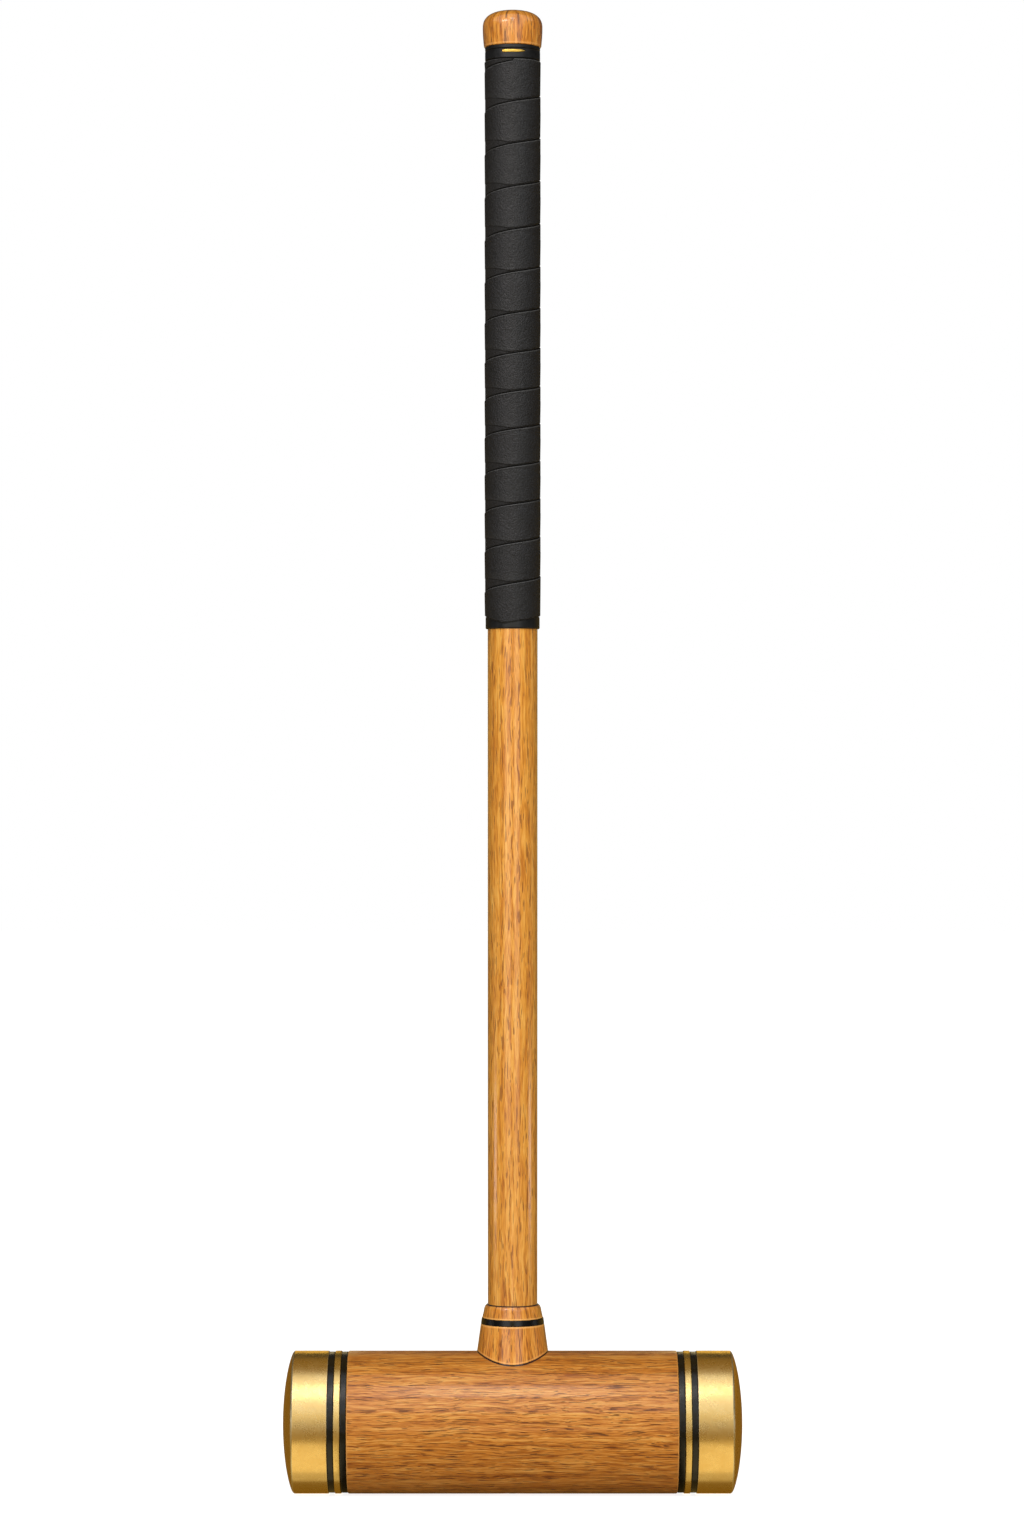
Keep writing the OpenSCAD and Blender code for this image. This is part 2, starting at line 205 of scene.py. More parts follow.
def evened(outline, step):
    """The same outline with points added along it, so that no two are further apart than step."""
    gaps = np.linalg.norm(np.diff(outline, axis=0), axis=1)
    counts = np.maximum(np.ceil(gaps / step).astype(int), 1)
    leg = np.repeat(np.arange(len(gaps)), counts)
    share = np.arange(counts.sum()) - np.repeat(np.cumsum(counts) - counts, counts)
    share = (share / np.repeat(counts, counts))[:, None]
    return np.concatenate([outline[leg] * (1 - share) + outline[leg + 1] * share, outline[-1:]])


def eased(x):
    """Rises smoothly from 0 at x = 0 to 1 at x = 1, and stays level on either side."""
    x = np.clip(x, 0, 1)
    return x * x * (3 - 2 * x)


def turned(name, outline, axis, closed, material, nodes, steps=160, mirror=1, swell=None,
           wear_and_painted_light=None):
    """A piece turned about the head's axis ("x") or the shaft's ("z").

    outline holds [distance along the axis, radius] points. The point at angle a stands at
    radius * cos(a) and radius * sin(a) across the axis. swell(along, angle, radius) adds to the
    radius. The painted-light function, given last, takes (along, radius) and marks edges with 1
    for a painted highlight, partly rubbed wood or brass, and places where parts meet with -1 for
    painted shade, partly a dark glue line. mirror is -1 for a piece at the head's left end.
    The grain attribute runs round the piece at its greatest radius and along the outline."""
    along = outline[:, 0][:, None]
    radius = outline[:, 1][:, None]
    angle = (np.arange(steps) * 2 * math.pi / steps)[None, :]
    out = radius + (swell(along, angle, radius) if swell else 0) + 0 * angle
    across = out * np.cos(angle)
    up = out * np.sin(angle)
    level = along * mirror + 0 * angle
    if axis == "x":
        points = np.stack([level, across, up + HEAD_R], axis=-1)
    else:
        points = np.stack([across, up, level], axis=-1)
    length = np.concatenate([[0], np.cumsum(np.linalg.norm(np.diff(outline, axis=0), axis=1))])
    grain_r = outline[:, 1].max()
    grain = np.stack([
        grain_r * np.cos(angle) + 0 * along,
        grain_r * np.sin(angle) + 0 * along,
        length[:, None] + 0 * angle
    ], axis=-1)
    # Painted highlight and painted shade for each point, partly rubbed edges and dark glue lines
    edge = (wear_and_painted_light(along, radius) if wear_and_painted_light else 0 * along) + 0 * angle
    return mesh_piece(name, points, closed, material, nodes, {"grain": grain, "wear_and_painted_light": edge})


# Materials


def colour(code):
    """The linear colour of an sRGB hex code: the sRGB curve undone channel by channel."""
    value = np.array([int(code[i:i + 2], 16) for i in (1, 3, 5)]) / 255
    linear = np.where(value <= 0.04045, value / 12.92, ((value + 0.055) / 1.055) ** 2.4)
    return (*linear.tolist(), 1.0)


def add(tree, kind, inputs=None, **settings):
    """Adds one shader node: its own settings, then a value or a link for each input named.

    It gives back the node's first output in use, and its other outputs are reached through that."""
    made = tree.nodes.new("ShaderNode" + kind)
    for setting, value in settings.items():
        setattr(made, setting, value)
    for socket, value in (inputs or {}).items():
        if isinstance(value, bpy.types.NodeSocket):
            tree.links.new(value, made.inputs[socket])
        else:
            made.inputs[socket].default_value = value
    return next((output for output in made.outputs if output.enabled), made)


def new_material(name):
    """An empty node material and its tree."""
    material = bpy.data.materials.new(name)
    material.use_nodes = True
    material.node_tree.nodes.clear()
    return material, material.node_tree


def millimetres(tree, source="object", order="xyz"):
    """Object coordinates in millimetres, or the grain attribute, with the grain's way last."""
    if source == "grain":
        return add(tree, "Attribute", attribute_name="grain").node.outputs["Vector"]
    point = add(tree, "TexCoord").node.outputs["Object"]
    point = add(tree, "VectorMath", {0: point, "Scale": 1 / MM}, operation="SCALE")
    if order == "xyz":
        return point
    split = add(tree, "SeparateXYZ", {0: point}).node
    parts = [split.outputs["XYZ".index(letter.upper())] for letter in order]
    return add(tree, "CombineXYZ", {0: parts[0], 1: parts[1], 2: parts[2]})


def stretched_patterns(tree, point, layers):
    """One cloudy pattern for each layer, drawn out to its own size in millimetres along x, y and
    z. A layer also gives its detail and the place in the noise where it starts."""
    return [
        add(tree, "TexNoise", {
            "Vector": add(tree, "Mapping", {
                "Vector": point, "Location": (start, start, start),
                "Scale": (1 / size[0], 1 / size[1], 1 / size[2])
            }), "Scale": 1.0, "Detail": detail, "Roughness": 0.55
        }) for size, detail, start in layers
    ]


def painted_light_and_wear(tree):
    """The attribute of painted light and worn edges as two shares: how far a place is painted lighter, as a
    highlight that is partly real rubbing, and how far it is painted darker, as shade that is partly real dirt.
    """
    wear_and_painted_light = add(tree, "Attribute", attribute_name="wear_and_painted_light").node.outputs["Fac"]
    rubbed = add(tree, "Math", {0: wear_and_painted_light, 1: 0.0}, operation="MAXIMUM")
    dirt_and_shade = add(tree, "Math", {0: 0.0, 1: wear_and_painted_light}, operation="SUBTRACT")
    return rubbed, add(tree, "Math", {0: dirt_and_shade, 1: 0.0}, operation="MAXIMUM")


def varnished_wood(name, tones, source="object", order="xyz", streak_mm=(1.2, 26.0), stripe_mm=3.6,
                   ring_mm=5.0, pore_mm=(0.85, 12.0), pore_share=0.8, shift=0.0, end_x=None,
                   varnish=1.0):
    """Ring-porous hardwood, turned, stained by age and varnished to a satin gloss.

    The eye gets fine light and dark streaks along the grain that waver a little, rows of short
    dark pore dashes in the early wood of each ring, and a soft varnish highlight that breaks on
    the fibres and pores. The pores are drawn about twice as wide as real ones, so that they show.
    tones go from light through middle and dark to the pores, and shift moves the pattern, so
    that no two woods share one. end_x is where the head block ends. varnish is 1 for a full
    coat, and less where most of it has soaked in."""
    material, tree = new_material(name)
    light, middle, dark, pore = [colour(code) for code in tones]
    point = millimetres(tree, source, order)
    # The fibres wander sideways by up to 2.5 mm
    slow = add(tree, "Mapping", {"Vector": point, "Scale": (1 / 14, 1 / 14, 1 / 42)})
    sway = add(tree, "TexNoise", {"Vector": slow, "Scale": 1.0, "Detail": 2.0}).node.outputs["Color"]
    point = add(tree, "VectorMath", {0: sway, 1: (5.0, 5.0, 0.0), 2: point}, operation="MULTIPLY_ADD")
    # Growth rings about a pith outside the piece; a wave of scale 1 has 10 / pi rings a unit
    pith = add(tree, "Mapping", {"Vector": point, "Location": (31.0, 12.0, 0.0)})
    early = add(tree, "TexWave", {"Vector": pith, "Scale": math.pi / (10 * ring_mm)},
                wave_type="RINGS", rings_direction="Z")
    # Stripes, streaks, single fibres and pores, drawn out along the grain
    stripe, streak, fibre, dash = stretched_patterns(tree, point, (
        ((stripe_mm, stripe_mm, 18 * stripe_mm), 2, shift),
        ((streak_mm[0], streak_mm[0], streak_mm[1]), 3, shift + 19),
        ((0.45, 0.45, 9), 2, shift + 3.1),
        ((pore_mm[0], pore_mm[0], pore_mm[1]), 1, shift + 11.7)))
    # The tone is 0.5 on the average, and goes with each layer by its own weight
    tone = -1.22
    for layer, weight in ((streak, 1.6), (stripe, 0.8), (fibre, 1.2), (early, -0.16)):
        tone = add(tree, "Math", {0: layer, 1: weight, 2: tone}, operation="MULTIPLY_ADD")
    base = add(tree, "Mix", {0: add(tree, "MapRange", {0: tone, 1: 0.1, 2: 0.5}), 6: dark, 7: middle},
               data_type="RGBA")
    base = add(tree, "Mix", {0: add(tree, "MapRange", {0: tone, 1: 0.5, 2: 0.92}), 6: base, 7: light},
               data_type="RGBA")
    # Pores are long thin dashes, and there are more of them in the early wood
    edge = add(tree, "Math", {0: early, 1: 0.06, 2: dash}, operation="MULTIPLY_ADD")
    pores = add(tree, "MapRange", {0: edge, 1: 0.64, 2: 0.68, 4: pore_share})
    base = add(tree, "Mix", {0: pores, 6: base, 7: pore}, data_type="RGBA")
    if end_x:
        # Towards the block's rounded ends the wood is painted lighter, a painted highlight along the rounded
        # edge
        along = add(tree, "SeparateXYZ", {0: millimetres(tree)})
        along = add(tree, "Math", {0: along}, operation="ABSOLUTE")
        end = add(tree, "MapRange", {0: along, 1: end_x - 0.8, 2: end_x - 0.4, 4: 0.7})
        base = add(tree, "Mix", {0: end, 6: base, 7: colour("#e8a04a")}, data_type="RGBA")
    # Painted highlights lighten the rounded edges, partly rubbed wood, and painted shade darkens the joints,
    # partly dark glue
    rubbed, dirt_and_shade = painted_light_and_wear(tree)
    base = add(tree, "Mix", {0: rubbed, 6: base, 7: colour("#ffb75c")}, data_type="RGBA")
    base = add(tree, "Mix", {0: dirt_and_shade, 6: base, 7: colour("#200c04")}, data_type="RGBA")
    height = add(tree, "Math", {0: pores, 1: -1.0, 2: streak}, operation="MULTIPLY_ADD")
    height = add(tree, "Math", {0: fibre, 1: 0.35, 2: height}, operation="MULTIPLY_ADD")
    rough = add(tree, "Math", {0: pores, 1: 0.2, 2: 0.36}, operation="MULTIPLY_ADD")
    rough = add(tree, "Math", {0: dirt_and_shade, 1: 0.4, 2: rough}, operation="MULTIPLY_ADD")
    skin = add(tree, "BsdfPrincipled", {
        "Base Color": base,
        "Roughness": rough,
        "IOR": 1.5,
        "Specular IOR Level": 0.2 + 0.3 * varnish,
        "Normal": add(tree, "Bump", {"Strength": 0.8, "Distance": 0.0002, "Height": height}),
        "Coat Weight": varnish,
        "Coat Roughness": 0.12,
        "Coat IOR": 1.5
    })
    add(tree, "OutputMaterial", {"Surface": skin})
    return material


def aged_brass(name, base_code, deep_code, turned_lines=0.0, shift=0.0):
    """Brass, spun or turned, then handled: a satin yellow metal with a mottled, browned skin.

    The eye gets a soft broad mirror, cloudy patches of deeper gold a few millimetres wide,
    hairline scratches that lean across the skirt, bright edges where a highlight is painted on
    brass that is partly rubbed, and on the rings fine lines left by the lathe. The scratches are
    drawn about 0.2 mm wide, which is coarser than real ones, so that they show."""
    material, tree = new_material(name)
    point = millimetres(tree)
    lean = add(tree, "Mapping", {"Vector": point, "Rotation": (0.5, 0.75, 0.2)})
    counter = add(tree, "Mapping", {"Vector": point, "Rotation": (-0.4, -1.1, 0.6)})
    cloud, mottle, lines = stretched_patterns(tree, point, (
        ((6.5, 6.5, 6.5), 4, shift), ((1.6, 1.6, 1.6), 2, shift + 5.2), ((0.33, 60, 60), 2, shift + 1)))
    scratch = stretched_patterns(tree, lean, (((0.35, 0.35, 14), 1, shift + 9),))[0]
    crossing = stretched_patterns(tree, counter, (((0.4, 0.4, 9), 1, shift + 2),))[0]
    scratch = add(tree, "MapRange", {0: scratch, 1: 0.6, 2: 0.68})
    crossing = add(tree, "MapRange", {0: crossing, 1: 0.62, 2: 0.7, 4: 0.6})
    marks = add(tree, "Math", {0: scratch, 1: crossing}, operation="MAXIMUM")
    rubbed, dirt_and_shade = painted_light_and_wear(tree)
    deep = add(tree, "MapRange", {0: cloud, 1: 0.35, 2: 0.72, 4: 0.4})
    base = add(tree, "Mix", {0: deep, 6: colour(base_code), 7: colour(deep_code)}, data_type="RGBA")
    fleck = add(tree, "MapRange", {0: mottle, 1: 0.5, 2: 0.75, 4: 0.2})
    base = add(tree, "Mix", {0: fleck, 6: base, 7: colour(deep_code)}, data_type="RGBA")
    # Edges marked above 0 get a painted highlight on partly rubbed brass, and places marked below 0 get
    # painted shade, partly dirt
    base = add(tree, "Mix", {0: rubbed, 6: base, 7: colour("#fff2cc")}, data_type="RGBA")
    base = add(tree, "Mix", {0: dirt_and_shade, 6: base, 7: colour("#3a2404")}, data_type="RGBA")
    height = add(tree, "Math", {0: lines, 1: turned_lines, 2: add(
        tree, "Math", {0: cloud, 1: 0.12}, operation="MULTIPLY")}, operation="MULTIPLY_ADD")
    height = add(tree, "Math", {0: marks, 1: -0.5, 2: height}, operation="MULTIPLY_ADD")
    rough = add(tree, "MapRange", {0: cloud, 1: 0.3, 2: 0.7, 3: 0.24, 4: 0.31})
    rough = add(tree, "Math", {0: marks, 1: 0.08, 2: rough}, operation="MULTIPLY_ADD")
    skin = add(tree, "BsdfPrincipled", {
        "Base Color": base,
        "Metallic": 1.0,
        "Roughness": add(tree, "Math", {0: rubbed, 1: 0.1, 2: rough}, operation="MULTIPLY_ADD"),
        "Specular Tint": colour("#f2dc9e"),
        "Normal": add(tree, "Bump", {"Strength": 0.3, "Distance": 0.00006, "Height": height})
    })
    add(tree, "OutputMaterial", {"Surface": skin})
    return material


def black_gloss(name, codes, haze_mm, line_mm, roughness, ior):
    """Turned ebonite or moulded rubber: near black, with a hazy gloss and a faintly lined skin.

    The haze is where hands have rubbed it, a few millimetres wide, and the lines are the tool's."""
    material, tree = new_material(name)
    haze, lines = stretched_patterns(tree, millimetres(tree), (
        ((haze_mm, haze_mm, haze_mm), 3, 1.0), (line_mm, 2, 4.0)))
    tint = add(tree, "MapRange", {0: haze, 1: 0.35, 2: 0.7})
    skin = add(tree, "BsdfPrincipled", {
        "Base Color": add(tree, "Mix", {0: tint, 6: colour(codes[0]), 7: colour(codes[1])},
                          data_type="RGBA"),
        "Roughness": add(tree, "MapRange", {0: haze, 1: 0.3, 2: 0.7, 3: roughness, 4: roughness + 0.12}),
        "IOR": ior,
        "Normal": add(tree, "Bump", {"Strength": 0.25, "Distance": 0.00005, "Height": lines})
    })
    add(tree, "OutputMaterial", {"Surface": skin})
    return material


def grip_tape_skin():
    """Polyurethane grip tape with a fine embossed leather grain, dulled by hands.

    The eye gets a charcoal strip with tiny soft pebbles, a broad dim highlight, folds and seams
    painted black as shade, and upper edges painted greyer as a highlight. The pebbles are drawn
    0.9 mm across, about twice their real size, so that they show."""
    material, tree = new_material("grip_tape_skin")
    point = millimetres(tree)
    pebble = add(tree, "TexVoronoi", {"Vector": point, "Scale": 1 / 0.9, "Smoothness": 0.6},
                 feature="SMOOTH_F1")
    coarse, fine, worn = stretched_patterns(tree, point, (
        ((2.4, 2.4, 2.4), 3, 3.0), ((0.55, 0.55, 0.55), 2, 8.0), ((14, 14, 26), 3, 5.0)))
    height = add(tree, "Math", {0: coarse, 1: 0.8, 2: add(
        tree, "Math", {0: fine, 1: 0.6}, operation="MULTIPLY")}, operation="MULTIPLY_ADD")
    height = add(tree, "Math", {0: pebble, 1: -0.7, 2: height}, operation="MULTIPLY_ADD")
    rubbed, dirt_and_shade = painted_light_and_wear(tree)
    base = add(tree, "Mix", {0: add(tree, "MapRange", {0: worn, 1: 0.35, 2: 0.7}),
                             6: colour("#0b0c0e"), 7: colour("#121315")}, data_type="RGBA")
    base = add(tree, "Mix", {0: add(tree, "MapRange", {0: fine, 1: 0.42, 2: 0.68, 4: 0.8}),
                             6: base, 7: colour("#1b1c1e")}, data_type="RGBA")
    # Painted highlight greys the upper edges, and painted shade blackens the folds and seams
    base = add(tree, "Mix", {0: rubbed, 6: base, 7: colour("#484847")}, data_type="RGBA")
    base = add(tree, "Mix", {0: dirt_and_shade, 6: base, 7: colour("#010101")}, data_type="RGBA")
    rough = add(tree, "MapRange", {0: coarse, 1: 0.3, 2: 0.7, 3: 0.48, 4: 0.6})
    skin = add(tree, "BsdfPrincipled", {
        "Base Color": base,
        "Roughness": add(tree, "Math", {0: dirt_and_shade, 1: 0.4, 2: rough}, operation="MULTIPLY_ADD"),
        "IOR": 1.5,
        "Specular IOR Level": 0.6,
        "Normal": add(tree, "Bump", {"Strength": 0.9, "Distance": 0.0004, "Height": height})
    })
    add(tree, "OutputMaterial", {"Surface": skin})
    return material


def polished_inlay_brass():
    """The let-in brass line, polished bright: clear yellow metal with tiny rubbed marks and a
    browned rim. It is brighter than the caps because no hand wears it."""
    material, tree = new_material("polished_inlay_brass")
    marks = stretched_patterns(tree, millimetres(tree), (((0.5, 0.5, 0.5), 3, 2.0),))[0]
    rim = add(tree, "Attribute", attribute_name="wear_and_painted_light").node.outputs["Fac"]
    base = add(tree, "Mix", {0: add(tree, "MapRange", {0: marks, 1: 0.4, 2: 0.7}),
                             6: colour("#fbd870"), 7: colour("#f0bc48")}, data_type="RGBA")
    base = add(tree, "Mix", {0: rim, 6: base, 7: colour("#c87818")}, data_type="RGBA")
    skin = add(tree, "BsdfPrincipled", {
        "Base Color": base,
        "Metallic": 1.0,
        "Roughness": add(tree, "MapRange", {0: marks, 1: 0.3, 2: 0.7, 3: 0.3, 4: 0.42}),
        "Normal": add(tree, "Bump", {"Strength": 0.2, "Distance": 0.00004, "Height": marks})
    })
    add(tree, "OutputMaterial", {"Surface": skin})
    return material


def underlay_foam():
    """Closed-cell foam sleeve: matt black with fine cells about 0.8 mm across."""
    material, tree = new_material("underlay_foam_matt")
    cells = add(tree, "TexVoronoi", {"Vector": millimetres(tree), "Scale": 1 / 0.8})
    skin = add(tree, "BsdfPrincipled", {
        "Base Color": add(tree, "Mix", {0: add(tree, "MapRange", {0: cells, 2: 0.7}),
                                        6: colour("#080808"), 7: colour("#141414")}, data_type="RGBA"),
        "Roughness": 0.9,
        "IOR": 1.5,
        "Normal": add(tree, "Bump", {"Strength": 0.8, "Distance": 0.0002, "Height": cells})
    })
    add(tree, "OutputMaterial", {"Surface": skin})
    return material


HEAD_OAK = varnished_wood(
    "varnished_head_oak", ("#e4a24a", "#ca7c26", "#9a5210", "#4c2404"), order="yzx",
    streak_mm=(0.8, 26.0), stripe_mm=3.8, ring_mm=6.5, pore_mm=(0.55, 12.0), shift=2.0,
    end_x=INNER_RING_X, varnish=0.5)
SHAFT_ASH = varnished_wood(
    "varnished_shaft_ash", ("#f6b450", "#e4962e", "#c07016", "#884809"), pore_share=0.7, shift=31.0)
COLLAR_ASH = varnished_wood(
    "varnished_collar_ash", ("#f4ac46", "#de8a26", "#a85c0d", "#6a3406"), source="grain",
    streak_mm=(0.95, 22.0), stripe_mm=3.0, pore_mm=(0.65, 10.0), pore_share=0.7, shift=47.0)
POMMEL_ASH = varnished_wood(
    "varnished_pommel_ash", ("#eea644", "#d48224", "#9c540c", "#582c06"), source="grain",
    streak_mm=(1.1, 18.0), stripe_mm=3.0, ring_mm=4.0, pore_mm=(0.8, 10.0), shift=61.0)
WEDGE_WALNUT = varnished_wood(
    "oiled_wedge_walnut", ("#8a5a34", "#6b4223", "#4a2a14", "#2c170a"), stripe_mm=3.0, ring_mm=3.5,
    pore_mm=(0.8, 9.0), shift=5.0)
DOWEL_BEECH = varnished_wood(
    "bare_dowel_beech", ("#e6c592", "#d8b27a", "#c09a60", "#a07a44"), stripe_mm=3.0, ring_mm=3.0,
    pore_mm=(0.7, 4.0), pore_share=0.4, shift=9.0)
CAP_BRASS = aged_brass("spun_cap_brass", "#f6d794", "#e6be6c", shift=1.0)
RING_BRASS = aged_brass("turned_ring_brass", "#f7da94", "#e8c270", turned_lines=1.6, shift=8.0)
EBONITE = black_gloss("polished_ebonite", ("#050606", "#0b0c0d"), 4.0, (0.5, 25, 25), 0.2, 1.5)
BAND_RUBBER = black_gloss("band_rubber", ("#0c0d0e", "#151617"), 3.0, (0.5, 0.5, 0.5), 0.34, 1.52)
TAPE_SKIN = grip_tape_skin()
INLAY_BRASS = polished_inlay_brass()
FOAM = underlay_foam()

for node_name, material in {
    "head_block": HEAD_OAK, "shaft": SHAFT_ASH, "tenon_wedge": WEDGE_WALNUT,
    "grip_underlay": FOAM, "pommel_dowel": DOWEL_BEECH
}.items():
    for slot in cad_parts[node_name].material_slots:
        slot.material = material


# Pieces of the head


def dome_x(radius):
    """Where the striking face stands: its rim's place plus the dome's height times
    (1 - (radius / rim radius) squared) to the power of the dome's form."""
    return DOME_RIM_X + DOME_H * np.maximum(1 - (radius / DOME_RIM_R) ** 2, 0) ** DOME_FORM


def dome_outline(radius, depth, steps):
    """Points over the dome from its middle out to a radius, moved back into it by a depth."""
    r = radius * np.sin(np.linspace(0, math.pi / 2, steps + 1))
    return np.stack([dome_x(r) - depth, r], axis=1)


def cap_outline():
    """The cup's outline: over the dome, down the chamfer, along the skirt, and back inside."""
    outside = dome_outline(DOME_RIM_R, 0, 36)
    rim = softened([
        outside[-1], [DOME_RIM_X - CAP_CHAMFER, HEAD_R], [CAP_X, HEAD_R], [CAP_X, SEAT_R],
        [dome_x(SEAT_R) - CAP_FACE_T, SEAT_R]
    ], [0, 0.4, RING_EDGE, 0.15, 0], closed=False)
    inside = dome_outline(SEAT_R, CAP_FACE_T, 16)[::-1]
    return np.concatenate([outside[:-1], rim, inside[1:]])


def cap_wear_and_highlight(x, r):
    """Painted highlight on the chamfer at the rim and on the skirt's edge beside the rings, on brass that is
    partly rubbed bright.
    """
    rim = eased((x - DOME_RIM_X + 0.75) / 0.3) * eased((DOME_RIM_X + 0.45 - x) / 0.4)
    rim = rim * (r > DOME_RIM_R - CAP_CHAMFER)
    skirt_edge_highlight = 0.7 * eased((CAP_X + 0.5 - x) / 0.25) * (r > HEAD_R - 0.45)
    return np.maximum(rim, skirt_edge_highlight)


def ring_outline(start, end, inner_r, outer_r, edge):
    """A ring's closed outline with its two outer edges rounded."""
    return softened([[start, inner_r], [start, outer_r], [end, outer_r], [end, inner_r]],
                    [0.1, edge, edge, 0.1])


for side, mirror in (("left", -1), ("right", 1)):
    turned("face_cap_skin_" + side, cap_outline(), "x", False, CAP_BRASS,
           ["face_cap_" + side], steps=180, mirror=mirror, wear_and_painted_light=cap_wear_and_highlight)
    turned("brass_ring_skin_" + side,
           ring_outline(BRASS_RING_X, OUTER_RING_X, SEAT_R, HEAD_R, RING_EDGE), "x", True,
           RING_BRASS, ["brass_ring_" + side], steps=180, mirror=mirror)
    turned("inner_black_ring_skin_" + side,
           ring_outline(INNER_RING_X, BRASS_RING_X, SEAT_R, BLACK_RING_R, BLACK_RING_EDGE), "x", True,
           EBONITE, ["inner_black_ring_" + side], steps=180, mirror=mirror)
    turned("outer_black_ring_skin_" + side,
           ring_outline(OUTER_RING_X, CAP_X, SEAT_R, BLACK_RING_R, BLACK_RING_EDGE), "x", True,
           EBONITE, ["outer_black_ring_" + side], steps=180, mirror=mirror)


# Pieces of the collar


def cone_r(z):
    """Outside radius of the collar's cone, which narrows evenly with height."""
    return FOOT_R - CONE_SLOPE * (z - HEAD_TOP_Z)


def on_head(y):
    """Height of the head's upper surface at a distance y from the plane of its axis."""
    return HEAD_R + np.sqrt(HEAD_R ** 2 - y ** 2)


def collar_base_piece(steps=240):
    """The cone astride the head.

    At angle a its foot is where the cone meets the head's cylinder: the height z for which
    z = on_head(cone_r(z) * sin(a)), found by stepping towards it eight times. The outside rises
    straight from just inside the head to the band, with a rounded upper edge, and the inside
    comes down the bore and back along the head."""
    angle = np.arange(steps) * 2 * math.pi / steps
    foot = np.full(steps, HEAD_TOP_Z)
    for _ in range(8):
        foot = on_head(cone_r(foot) * np.sin(angle))
    bore_foot = on_head(COLLAR_BORE_R * np.sin(angle))
    rise = np.array([-0.25, 0.0, 0.3, 0.62, 0.8, 0.95, 1.1, 1.4, 1.7, 2.0, 2.4])[:, None]
    share = np.array([0.12, 0.25, 0.4, 0.55, 0.7, 0.85])[:, None]
    down = np.array([1.6, 1.3, 1.0, 0.8, 0.55])[:, None]
    high = COLLAR_BAND_Z - 1.6
    wall_z = np.concatenate([foot + rise, foot + 2.4 + share * (high - foot - 2.4),
                             COLLAR_BAND_Z - down + 0 * foot])
    lip = np.array([0.04, 0.13, 0.28, 0.5])[:, None]
    lip_z = COLLAR_BAND_Z - np.array([0.36, 0.18, 0.06, 0.0])[:, None] + 0 * foot
    inner_z = np.stack([COLLAR_BAND_Z + 0 * foot, COLLAR_BAND_Z - 0.2 + 0 * foot, bore_foot + 0.2,
                        bore_foot - 0.15])
    inner_r = np.array([0.2, 0.0, 0.0, 0.15])[:, None] + COLLAR_BORE_R
    z = np.concatenate([wall_z, lip_z, inner_z])
    r = np.concatenate([cone_r(wall_z), cone_r(lip_z) - lip, inner_r + 0 * foot])
    points = np.stack([r * np.cos(angle), r * np.sin(angle), z], axis=-1)
    # Painted shade along the foot where the collar meets the head, partly a dark glue line, and painted
    # highlights above it and under the band, partly rubbed wood
    above = z - foot
    outside = r > COLLAR_BORE_R + 1
    dark = -eased((1.1 - above) / 0.3) * outside
    bright = 0.8 * eased((above - 1.05) / 0.3) * eased((2.2 - above) / 0.7)
    bright = np.maximum(bright, 0.8 * eased((z - COLLAR_BAND_Z + 1.2) / 0.5)) * outside
    grain_r = 18
    grain = np.stack([grain_r * np.cos(angle) + 0 * z, grain_r * np.sin(angle) + 0 * z, z], axis=-1)
    return mesh_piece("collar_base_turned", points, True, COLLAR_ASH,
                      ["collar_base"], {"grain": grain, "wear_and_painted_light": dark + bright})


collar_base_piece()
turned("collar_band_turned",
       softened([[COLLAR_BAND_Z, COLLAR_BORE_R], [COLLAR_BAND_Z, cone_r(COLLAR_BAND_Z)],
                 [BEAD_Z, cone_r(BEAD_Z)], [BEAD_Z, COLLAR_BORE_R]], [0.1, 0.35, 0.3, 0.1]),
       "z", True, EBONITE, ["collar_band"])


def bead_outline():
    """The bead's closed outline: a short foot, then a side and a long round shoulder that draw
    in to the shaft as most of a quarter ellipse: from its middle, SHOULDER_H * sin(lean) up and
    SHOULDER_R * cos(lean) out."""
    foot_r = cone_r(BEAD_Z) - BEAD_INSET
    lean = np.radians(np.linspace(4, 75, 20))
    shoulder = np.stack([SHOULDER_Z + SHOULDER_H * np.sin(lean),
                         SHOULDER_MIDDLE_R + SHOULDER_R * np.cos(lean)], axis=1)
    foot = softened([[BEAD_Z, COLLAR_BORE_R], [BEAD_Z, foot_r], shoulder[0]], [0, 0.45, 0], closed=False)
    return evened(np.concatenate([foot, shoulder[1:], [[BEAD_TOP_Z, COLLAR_BORE_R]]]), 0.35)


def bead_highlight_and_shade(z, r):
    """Painted highlight along the bead's foot, partly rubbed wood, and painted shade where it meets the shaft,
    partly a dark glue line.
    """
    foot = 0.95 * eased((BEAD_Z + 1.15 - z) / 0.5) * (r > COLLAR_BORE_R + 0.5)
    joint = eased((z - BEAD_TOP_Z + 0.9) / 0.4) * eased((COLLAR_BORE_R + 1.2 - r) / 0.4)
    return foot - joint


turned("collar_bead_turned", bead_outline(), "z", True, COLLAR_ASH, ["collar_bead"],
       wear_and_painted_light=bead_highlight_and_shade)


# The pommel, turned


